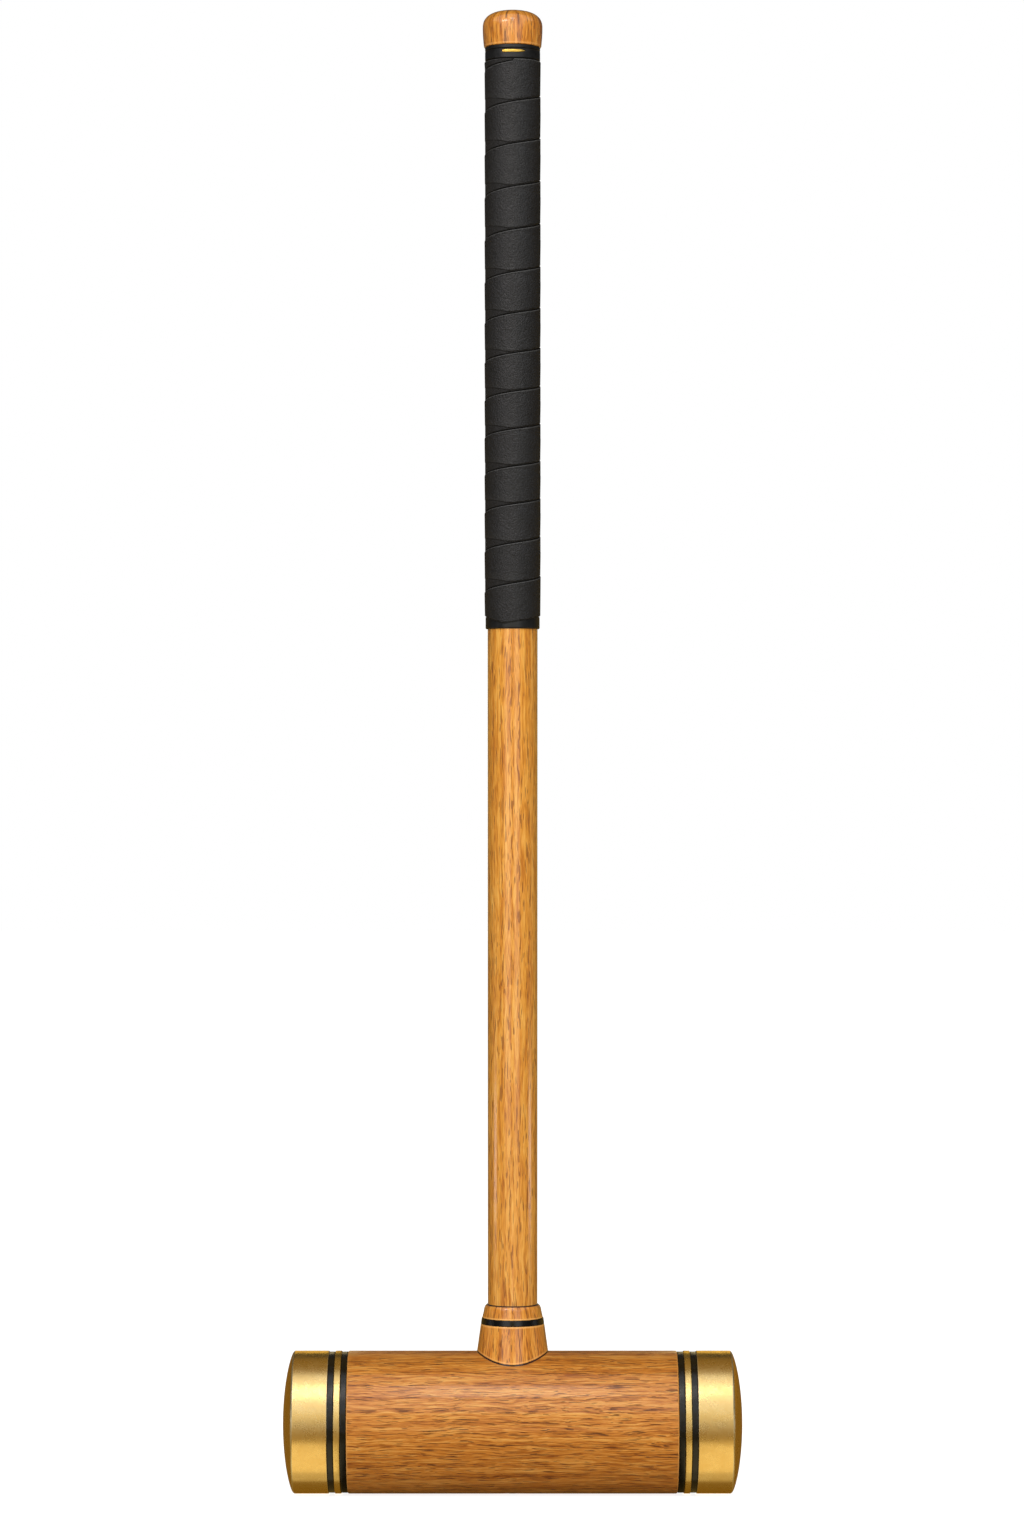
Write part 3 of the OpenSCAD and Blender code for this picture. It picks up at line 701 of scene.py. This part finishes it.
def pommel_outline():
    """The knob's outline from its seat to its top.

    The side swells from the seat to the widest place as a quarter sine. The crown above it is a
    superellipse: (r / widest r) ** form + (height / crown height) ** form = 1."""
    rise = np.linspace(0, 1, 15)[1:]
    side_z = SEAT_EDGE_Z + rise * (WIDEST_Z - SEAT_EDGE_Z)
    side_r = POMMEL_SEAT_R + (POMMEL_R - POMMEL_SEAT_R) * np.sin(
        (side_z - SHAFT_TOP_Z) / (WIDEST_Z - SHAFT_TOP_Z) * math.pi / 2)
    lean = np.linspace(0, math.pi / 2, 34)[1:]
    crown_r = POMMEL_R * np.cos(lean) ** (2 / CROWN_FORM)
    crown_z = WIDEST_Z + (POMMEL_TOP_Z - WIDEST_Z) * np.sin(lean) ** (2 / CROWN_FORM)
    crown_r[-1] = 0
    seat = softened([[SHAFT_TOP_Z, 0], [SHAFT_TOP_Z, POMMEL_SEAT_R], [side_z[0], side_r[0]]],
                    [0, 0.6, 0], closed=False)
    return np.concatenate([seat[:-1], np.stack([side_z, side_r], axis=1),
                           np.stack([crown_z, crown_r], axis=1)])


def pommel_wear_and_highlight(z, r):
    """Painted highlight round the edge of the pommel's seat, partly rubbed wood."""
    return 0.55 * eased(1 - np.abs(z - SEAT_EDGE_Z) / 0.7) * (r > POMMEL_SEAT_R - 1.65)


turned("pommel_turned", pommel_outline(), "z", False, POMMEL_ASH, ["pommel"],
       wear_and_painted_light=pommel_wear_and_highlight)


# Grip bands and inlay


lower_band = softened([
    [LOWER_BAND_Z, BAND_BORE_R], [LOWER_BAND_Z, LOWER_BAND_R], [LOWER_BAND_TOP_Z, LOWER_BAND_R],
    [LOWER_BAND_TOP_Z, BAND_BORE_R]], [0.1, 0.9, 0.3, 0.1])
turned("grip_lower_band_moulded", evened(lower_band, 0.8), "z", True, BAND_RUBBER,
       ["grip_lower_band"], steps=180)


def inlay_half_height(share):
    """Half the inlay's height at a share of its length, -1 at its left end and 1 at its right.

    The left end is a half ellipse over the last 0.14 of that share. From 0.3 to 1 the height
    falls off to a point: 1 - ((share - 0.3) / 0.7) squared."""
    left = np.sqrt(np.maximum(1 - (np.minimum(share + 0.86, 0) / 0.14) ** 2, 0))
    right = 1 - np.maximum((share - 0.3) / 0.7, 0) ** 2.0
    return INLAY_HALF_H * left * right


def top_band_swell(z, angle, radius):
    """The slot for the inlay: a dip in the band that follows the inlay's outline a little off it,
    and closes just beyond its ends."""
    share = (angle - FRONT - INLAY_TURN + math.pi) % (2 * math.pi) - math.pi
    share = share / INLAY_HALF_ANGLE
    beyond = np.maximum(np.abs(share) - 1, 0) / 0.12
    half = inlay_half_height(np.clip(share, -1, 1)) + SLOT_MARGIN * (1 - beyond)
    inside = eased((half - np.abs(z - INLAY_Z)) / 0.25) * (beyond < 1)
    return -SLOT_DEPTH * inside * (radius > TOP_BAND_R - 0.1)


top_band = evened(softened([
    [TOP_BAND_Z, BAND_BORE_R], [TOP_BAND_Z, TOP_BAND_R], [GROOVE_Z - 0.4, TOP_BAND_R],
    [GROOVE_Z, TOP_BAND_R - 0.5], [GROOVE_Z + 0.4, TOP_BAND_R], [SHAFT_TOP_Z, TOP_BAND_R],
    [SHAFT_TOP_Z, BAND_BORE_R]], [0.1, 0.5, 0.15, 0.08, 0.15, 0.5, 0.1]), 0.16)
turned("grip_top_band_moulded", top_band, "z", True, BAND_RUBBER,
       ["grip_top_band"], steps=360, swell=top_band_swell)


def inlay_piece(steps=72):
    """The brass line: a pillow bent round the band.

    Along it the angle goes from its left end to its right end. Across it a loop of points goes
    once round: height = half height * cos(b) ** 0.7 with the sign of cos(b). The radius is
    INLAY_MIDDLE_R, plus INLAY_PROUD * sin(b) ** 0.6 where sin(b) is above 0, and elsewhere
    plus INLAY_DEPTH * sin(b). Both ends draw together to a point."""
    share = -np.cos(np.linspace(0, math.pi, steps))[:, None]
    loop = (np.arange(16) * 2 * math.pi / 16)[None, :]
    angle = FRONT + INLAY_TURN + share * INLAY_HALF_ANGLE
    half = inlay_half_height(share)
    depth = np.where(np.sin(loop) > 0, INLAY_PROUD * np.sin(loop) ** 0.6, INLAY_DEPTH * np.sin(loop))
    radius = INLAY_MIDDLE_R + depth * np.minimum(half / 0.3, 1)
    z = INLAY_Z + half * np.sign(np.cos(loop)) * np.abs(np.cos(loop)) ** 0.7
    points = np.stack([radius * np.cos(angle), radius * np.sin(angle), z], axis=-1)
    rim = np.clip(1 - np.sin(loop) * 1.6, 0, 1) + 0 * share
    return mesh_piece("band_inlay_bright", points, False, INLAY_BRASS,
                      ["band_inlay"], {"wear_and_painted_light": rim})


inlay_piece()


# Grip tape, wound


def seam_z(t):
    """Height of the seam under the tape after t turns down from its start at the front.

    It falls by one pitch a turn, flatter at the front than at the back by a sine of the turn,
    and strays by a slow cosine because the tape is laid by hand."""
    turn = 2 * math.pi * t
    fall = TAPE_PITCH * (t - TAPE_EASE * np.sin(turn) / (2 * math.pi))
    stray = TAPE_STRAY * (1 - np.cos(turn / STRAY_TURNS)) / 2
    return TAPE_TOP_Z - SEAM_START - fall - stray


def foot_z(from_front):
    """Height of the tape's lower edge: lowest a little left of the front, where its cut end lies
    over the band, and rising by so many millimetres a degree to each side up to the band's top."""
    turned_by = np.degrees(from_front) - TAPE_TIP_TURN
    rise = np.where(turned_by < 0, TAPE_RISE_LEFT, TAPE_RISE_RIGHT) * turned_by
    return np.minimum(TAPE_FOOT_Z, TAPE_TIP_Z + rise)


def grip_tape_piece(steps_a_turn=96):
    """One unbroken strip, wound down the handle.

    Its section is carried down the helix: after t turns the strip stands at the angle
    front - 360 t, between the seam below it and the seam above it. The radius goes from the full
    thickness at the upper edge to a little less at the lower one, and both edges are rounded.
    Where each turn crosses the edge of the turn underneath, a fold runs across it: its height
    falls with the sine of the angle from the front. Left of the front the strip is pressed in
    below the fold, and right of the front above it. Both fade out at the back. Over the lower
    band the strip is thinner and rides on the band's outside. Its section is rows of points from
    the upper edge down the outside to the lower edge, and closes along the inside."""
    t = np.linspace(0, TAPE_TURNS, int(TAPE_TURNS * steps_a_turn) + 1)
    from_front = (-2 * math.pi * t + math.pi) % (2 * math.pi) - math.pi
    low = np.maximum(np.where(t > TAPE_TURNS - 1.3, foot_z(from_front), TAPE_FOOT_Z), seam_z(t))
    high = np.where(t < 1, TAPE_TOP_Z, np.minimum(TAPE_TOP_Z, seam_z(t - 1) - TAPE_GAP))
    high = np.maximum(high, low + 0.05)
    width = high - low
    lean = np.sin(from_front)
    drop = FOLD_LEAN * lean + FOLD_BOW * lean ** 2
    whole = eased((t - 0.8) / 0.3) * eased((TAPE_TURNS - 1.1 - t) / 0.3)
    left = whole * (from_front <= 0) * eased((math.radians(150) + from_front) / math.radians(50))
    right = whole * (from_front > 0) * eased((math.radians(150) - from_front) / math.radians(50))
    seam = np.round(t)
    fold_low = seam_z(seam) - drop
    fold_high = seam_z(seam - 1) - drop
    edge = np.minimum(TAPE_EDGE, 0.22 * width)
    # Height of the fold on this strip, held off its edges, and how far the strip sinks beside it
    reach = np.maximum(0.42 * width - edge, 0)
    low_line = low + edge + left * np.clip(fold_low - low - edge, 0, reach)
    high_line = high - edge - right * np.clip(high - fold_high - edge, 0, reach)
    low_sink = FOLD_SINK_LEFT * left * eased((fold_low - low) / 2.0)
    high_sink = FOLD_SINK_RIGHT * right * eased((high - fold_high) / 2.0)
    low_fold = left * eased(low_sink / 0.05)
    high_fold = right * eased(high_sink / 0.05)
    core = np.minimum(0.13, 0.1 * edge)
    nick = np.minimum(0.42, 0.35 * edge)

    def row(z, radius, shade):
        """One line of points along the strip: height, radius, and its painted light, a painted highlight above
        0 and painted shade below 0.

        Over the band the inside moves out on to it, and the outside draws in a little."""
        z = z + 0 * t
        over = eased((TAPE_FOOT_Z - z) / 0.6)
        radius = radius + 0 * t
        radius = np.where(radius < TAPE_IN_R + 0.2, radius + over * (TAPE_OVER_R - TAPE_IN_R), radius)
        radius = np.where(radius > TAPE_IN_R + 0.5, radius - 0.12 * over, radius)
        return np.stack([z, radius, shade + 0 * t])

    top_r = TAPE_OUT_R - high_sink
    bottom_r = TAPE_OUT_R - TAPE_THIN - low_sink
    mid = [low_line + nick + share * (high_line - nick - low_line - nick) for share in (0.75, 0.5, 0.25)]
    # Painted shade on the strip pressed in below a fold
    pressed = -0.45 * left * eased(low_sink / 0.1)
    # The third value of each row paints light: a highlight along the upper edge, and shade in the seams, on
    # the inside and along the folds
    section = np.stack([
        row(high - 0.15, TAPE_IN_R, -1),
        row(high, TAPE_IN_R + 0.15, -1),
        row(high, top_r - 0.4, -0.8),
        row(high - 0.06, top_r - 0.18, 0.1),
        row(high - 0.2 * edge, top_r - 0.04, 0.8),
        row(high - 0.45 * edge, top_r, 0.3),
        row(high - 0.8 * edge, top_r, 0),
        row(high_line + nick, top_r, 0),
        row(high_line + core, top_r - 0.03 * right, -0.3 * high_fold),
        row(high_line - core, top_r - 0.02 * right, -0.3 * high_fold),
        row(high_line - nick, TAPE_OUT_R - 0.02, 0),
        row(mid[0], TAPE_OUT_R - 0.05, 0),
        row(mid[1], TAPE_OUT_R - 0.1, 0),
        row(mid[2], TAPE_OUT_R - 0.15, 0),
        row(low_line + nick, TAPE_OUT_R - TAPE_THIN + 0.02 * left, 0.1 * left),
        row(low_line + core, TAPE_OUT_R - TAPE_THIN - 0.3 * low_sink, -1.0 * low_fold),
        row(low_line - core, TAPE_OUT_R - TAPE_THIN - 0.8 * low_sink, -1.0 * low_fold),
        row(low_line - nick, bottom_r + 0.05 * low_sink, pressed),
        row(low + 0.7 * edge, bottom_r, pressed),
        row(low + 0.36 * edge, bottom_r - 0.02, np.minimum(pressed, -0.25)),
        row(low + 0.18 * edge, bottom_r - 0.1, -0.85),
        row(low, bottom_r - 0.3, -1),
        row(low, TAPE_IN_R + 0.12, -1),
        row(low + 0.12 * edge, TAPE_IN_R, -1)
    ])
    z = section[:, 0].T
    radius = section[:, 1].T
    shade = section[:, 2].T
    angle = (FRONT - 2 * math.pi * t)[:, None]
    points = np.stack([radius * np.cos(angle), radius * np.sin(angle), z], axis=-1)
    # Both ends close on their own middle
    points = np.concatenate([
        np.repeat(points[:1].mean(axis=1, keepdims=True), points.shape[1], axis=1), points,
        np.repeat(points[-1:].mean(axis=1, keepdims=True), points.shape[1], axis=1)
    ])
    shade = np.concatenate([shade[:1], shade, shade[-1:]])
    return mesh_piece("grip_tape_wound", points, False, TAPE_SKIN, ["grip_tape"],
                      {"wear_and_painted_light": shade})


grip_tape_piece()


# Room, lights and camera


# The room is in metres. Its floor lies a hair under the mallet
FLOOR_PAINT = 0.65
FLOOR_GLOW = 0.86
WORLD_FILL = 0.31
FLOOR_HALF = 9
FLOOR_Z = -0.0002
PANEL_Y = -2.2
PANEL_LEFT_X = -1.7
PANEL_RIGHT_X = 1.4
PANEL_FOLD_Z = 0.95
CEILING_Z = 2.0
SIDE_X = 2.6
BACK_Y = 1.9
BACK_HALF = 0.7
BACK_TOP_Z = 0.5
CORNER_TOP_Z = 0.6
# How far a card stands off the one behind it
CARD_GAP = 0.01
SIDE_FROM_Y = -0.5
SIDE_TO_Y = 1.0
MIDDLE_HALF = 0.33
MIDDLE_FOLD_Z = 0.45
# The boards on the floor near the head lie in three layers
HEAD_HALF = 0.0995
CAP_BOARD_X = 0.16
NEAR_FRONT_Y = -0.112
NEAR_BACK_Y = -0.036
UNDER_HEAD_Y = -0.026
LOW_CARD_Z = 0.0006
CARD_Z = 0.0008
HIGH_CARD_Z = 0.0012
LIGHT_TARGET = (0, 0, 0.25)
# Linear tints of the cream, gold and brown boards that give brass and varnish their depth, and
# the level of the dark ones
CREAM = (1.0, 0.88, 0.62)
GOLD = (1.0, 0.8, 0.42)
BROWN = (1.0, 0.63, 0.15)
DARK_LEVEL = 0.05


def seen_share(tree, *rays):
    """1 for the kinds of ray named, and 0 for all others."""
    path = add(tree, "LightPath").node
    share = path.outputs[rays[0]]
    for ray in rays[1:]:
        share = add(tree, "Math", {0: share, 1: path.outputs[ray]}, operation="MAXIMUM")
    return share


def sheet_object(name, corners, material):
    """A flat four-cornered sheet of the room, not attached to the mallet."""
    mesh = bpy.data.meshes.new(name)
    mesh.from_pydata(corners, [], [[0, 1, 2, 3]])
    mesh.materials.append(material)
    sheet = bpy.data.objects.new(name, mesh)
    bpy.context.scene.collection.objects.link(sheet)
    return sheet


def studio_card(name, level, first, second, tint=(1, 1, 1)):
    """A studio card that only reflections see: it shapes what the metal and the varnish mirror.

    first and second are two points of its one edge and of the edge facing that."""
    material, tree = new_material(name)
    add(tree, "OutputMaterial", {
        "Surface": add(tree, "Emission", {"Color": (*tint, 1), "Strength": level})
    })
    card = sheet_object(name, [first[0], first[1], second[1], second[0]], material)
    card.visible_camera = False
    card.visible_diffuse = False
    card.visible_shadow = False
    card.visible_transmission = False
    card.visible_volume_scatter = False


def standing_card(name, level, start, end, bottom=0.0, top=CEILING_Z, tint=(1, 1, 1)):
    """A studio card that stands upright between two places on the floor."""
    studio_card(name, level, ((*start, bottom), (*end, bottom)), ((*start, top), (*end, top)), tint)


def hanging_card(name, level, x_from, x_to, near, far, tint=(1, 1, 1)):
    """A studio card between two level edges along x. near and far give each edge's y and z."""
    studio_card(name, level, ((x_from, *near), (x_to, *near)), ((x_from, *far), (x_to, *far)), tint)


def lying_card(name, level, x_from, x_to, y_from, y_to, z=CARD_Z, tint=(1, 1, 1)):
    """A studio card that lies level."""
    hanging_card(name, level, x_from, x_to, (y_from, z), (y_to, z), tint)


def pale_floor():
    """Plain pale floor: it reads white, and keeps a soft shadow under the mallet."""
    material, tree = new_material("pale_floor")
    seen = seen_share(tree, "Is Camera Ray", "Is Glossy Ray", "Is Transmission Ray")
    seen = add(tree, "Math", {0: seen, 1: FLOOR_GLOW}, operation="MULTIPLY")
    glow = add(tree, "Emission", {"Color": (1, 1, 1, 1), "Strength": seen})
    paint = add(tree, "BsdfDiffuse", {"Color": (FLOOR_PAINT, FLOOR_PAINT, FLOOR_PAINT, 1)})
    add(tree, "OutputMaterial", {"Surface": add(tree, "AddShader", {0: paint, 1: glow})})
    near, far = -FLOOR_HALF, FLOOR_HALF
    sheet_object("floor", [(near, near, FLOOR_Z), (far, near, FLOOR_Z), (far, far, FLOOR_Z),
                           (near, far, FLOOR_Z)], material)


pale_floor()
# The white panel stands in front of the mallet, then leans back over it
standing_card("panel_upright", 1.15, (PANEL_LEFT_X, PANEL_Y), (PANEL_RIGHT_X, PANEL_Y), top=PANEL_FOLD_Z)
hanging_card("panel_leaning", 1.0, PANEL_LEFT_X, PANEL_RIGHT_X, (PANEL_Y, PANEL_FOLD_Z), (0.0, CEILING_Z))
# Before it hang a band that brightens the caps, a hot core that draws the highlight along the
# head, and a small card that puts a spot on the bead and on the pommel
hanging_card("panel_band", 0.95, -0.75, 0.5, (-1.4, 1.3), (-0.6, 1.68), tint=(1.0, 0.92, 0.92))
hanging_card("panel_core", 5.4, -0.12, 0.1, (-1.2, 1.36), (-0.64, 1.63), tint=(1.0, 0.98, 0.9))
hanging_card("spot_card", 11.0, -0.9, -0.45, (-1.2, 1.36), (-0.95, 1.48), tint=(1.0, 0.85, 0.85))
# Straight in front of the head the panel is darker and warmer towards the floor
standing_card("board_front_middle", 0.7, (-MIDDLE_HALF, PANEL_Y + CARD_GAP), (MIDDLE_HALF, PANEL_Y + CARD_GAP),
              bottom=MIDDLE_FOLD_Z, top=PANEL_FOLD_Z, tint=(1.0, 0.74, 0.2))
standing_card("board_front_low", 0.22, (-MIDDLE_HALF, PANEL_Y + CARD_GAP), (MIDDLE_HALF, PANEL_Y + CARD_GAP),
              top=MIDDLE_FOLD_Z, tint=(1.0, 0.66, 0.16))
# Brown boards behind, with a gold one behind each cap
standing_card("board_back_left", 0.22, (-SIDE_X, SIDE_TO_Y), (-BACK_HALF, BACK_Y),
              top=CORNER_TOP_Z, tint=BROWN)
standing_card("board_back", 0.14, (-BACK_HALF, BACK_Y), (BACK_HALF, BACK_Y), top=BACK_TOP_Z, tint=BROWN)
standing_card("board_back_right", 0.34, (BACK_HALF, BACK_Y), (SIDE_X, SIDE_TO_Y),
              top=CORNER_TOP_Z, tint=BROWN)
lying_card("board_over", 0.24, -SIDE_X, SIDE_X, 0.0, BACK_Y, z=CEILING_Z, tint=BROWN)
# Dark boards at the sides and above the brown ones keep the edges deep
standing_card("board_high_back", DARK_LEVEL, (-BACK_HALF, BACK_Y), (BACK_HALF, BACK_Y),
              bottom=BACK_TOP_Z)
for side, mirror, panel_x in (("left", -1, PANEL_LEFT_X), ("right", 1, PANEL_RIGHT_X)):
    wall_x = mirror * SIDE_X
    standing_card("board_front_" + side, DARK_LEVEL, (panel_x, PANEL_Y), (wall_x, SIDE_FROM_Y))
    standing_card("board_" + side, DARK_LEVEL, (wall_x, SIDE_FROM_Y), (wall_x, SIDE_TO_Y))
    standing_card("board_high_" + side, DARK_LEVEL, (wall_x - CARD_GAP * mirror, SIDE_TO_Y),
                  (mirror * BACK_HALF, BACK_Y - CARD_GAP), bottom=CORNER_TOP_Z)
    standing_card("board_behind_cap_" + side, 1.4, (mirror * 0.16, BACK_Y - 2 * CARD_GAP),
                  (mirror * 0.34, BACK_Y - 2 * CARD_GAP), bottom=0.25, top=0.9, tint=GOLD)
    # A low bright strip at each side draws the line round the edge of the cap
    standing_card("rim_strip_" + side, 3.0, (mirror * 1.55, -0.3), (mirror * 1.55, 0.15), top=0.12)
    # On the floor a cream board lies far out in front, a gold one just before each cap, and a
    # brown one beyond
    lying_card("floor_front_" + side, 0.36, mirror * MIDDLE_HALF, mirror * 1.3, PANEL_Y, -0.35, tint=CREAM)
    lying_card("floor_gold_" + side, 1.0, mirror * HEAD_HALF, mirror * CAP_BOARD_X, NEAR_FRONT_Y,
               NEAR_BACK_Y, tint=GOLD)
    lying_card("floor_" + side, 0.25, mirror * CAP_BOARD_X, wall_x, NEAR_FRONT_Y, UNDER_HEAD_Y, tint=BROWN)
# In the middle a white board lies in front, brown ones from the panel to the back, and a
# narrow gold one under the head's front
lying_card("floor_front_centre", 0.9, -0.1, 0.1, -1.5, -0.5)
lying_card("floor_front", 0.28, -SIDE_X, SIDE_X, PANEL_Y, NEAR_FRONT_Y, z=LOW_CARD_Z, tint=BROWN)
lying_card("floor_fade", 0.6, -CAP_BOARD_X, CAP_BOARD_X, NEAR_BACK_Y, UNDER_HEAD_Y, z=LOW_CARD_Z, tint=GOLD)
lying_card("floor_back", 0.24, -SIDE_X, SIDE_X, UNDER_HEAD_Y, BACK_Y, z=LOW_CARD_Z, tint=BROWN)
lying_card("floor_middle", 0.08, -HEAD_HALF, HEAD_HALF, NEAR_FRONT_Y, 0.03, z=HIGH_CARD_Z, tint=BROWN)


def soft_light(name, place, target, width, height, watts):
    """A rectangular soft light at a place, facing its target. The cards stand for it in
    reflections, so it lights the surfaces and isn't mirrored."""
    data = bpy.data.lights.new(name, "AREA")
    data.shape = "RECTANGLE"
    data.size = width
    data.size_y = height
    data.energy = watts
    lamp = bpy.data.objects.new(name, data)
    lamp.location = place
    lamp.rotation_euler = (Vector(target) - Vector(place)).to_track_quat("-Z", "Y").to_euler()
    lamp.visible_glossy = False
    lamp.visible_camera = False
    bpy.context.scene.collection.objects.link(lamp)


soft_light("key_light", (-0.12, -2.1, 1.6), LIGHT_TARGET, 3.2, 1.2, 51)
soft_light("front_fill", (0, -2.4, 0.3), LIGHT_TARGET, 2.6, 0.5, 8)

world = bpy.data.worlds.new("pale_room")
bpy.context.scene.world = world
world.use_nodes = True
room = world.node_tree
room.nodes.clear()
fill = add(room, "Background", {"Color": (1, 1, 1, 1), "Strength": WORLD_FILL})
white = add(room, "Background", {"Color": (1, 1, 1, 1), "Strength": 1.0})
seen = seen_share(room, "Is Camera Ray", "Is Glossy Ray", "Is Transmission Ray")
add(room, "OutputWorld", {"Surface": add(room, "MixShader", {0: seen, 1: fill, 2: white})})

camera_data = bpy.data.cameras.new("photo_camera")
camera_data.lens = 105.35
camera_data.sensor_width = 36
camera_data.clip_end = 100
camera = bpy.data.objects.new("photo_camera", camera_data)
camera.location = (-0.00035, -2.62, 0.4224)
camera.rotation_euler = (math.pi / 2, 0, 0)
bpy.context.scene.collection.objects.link(camera)
bpy.context.scene.camera = camera
bpy.context.scene.view_settings.view_transform = "Standard"
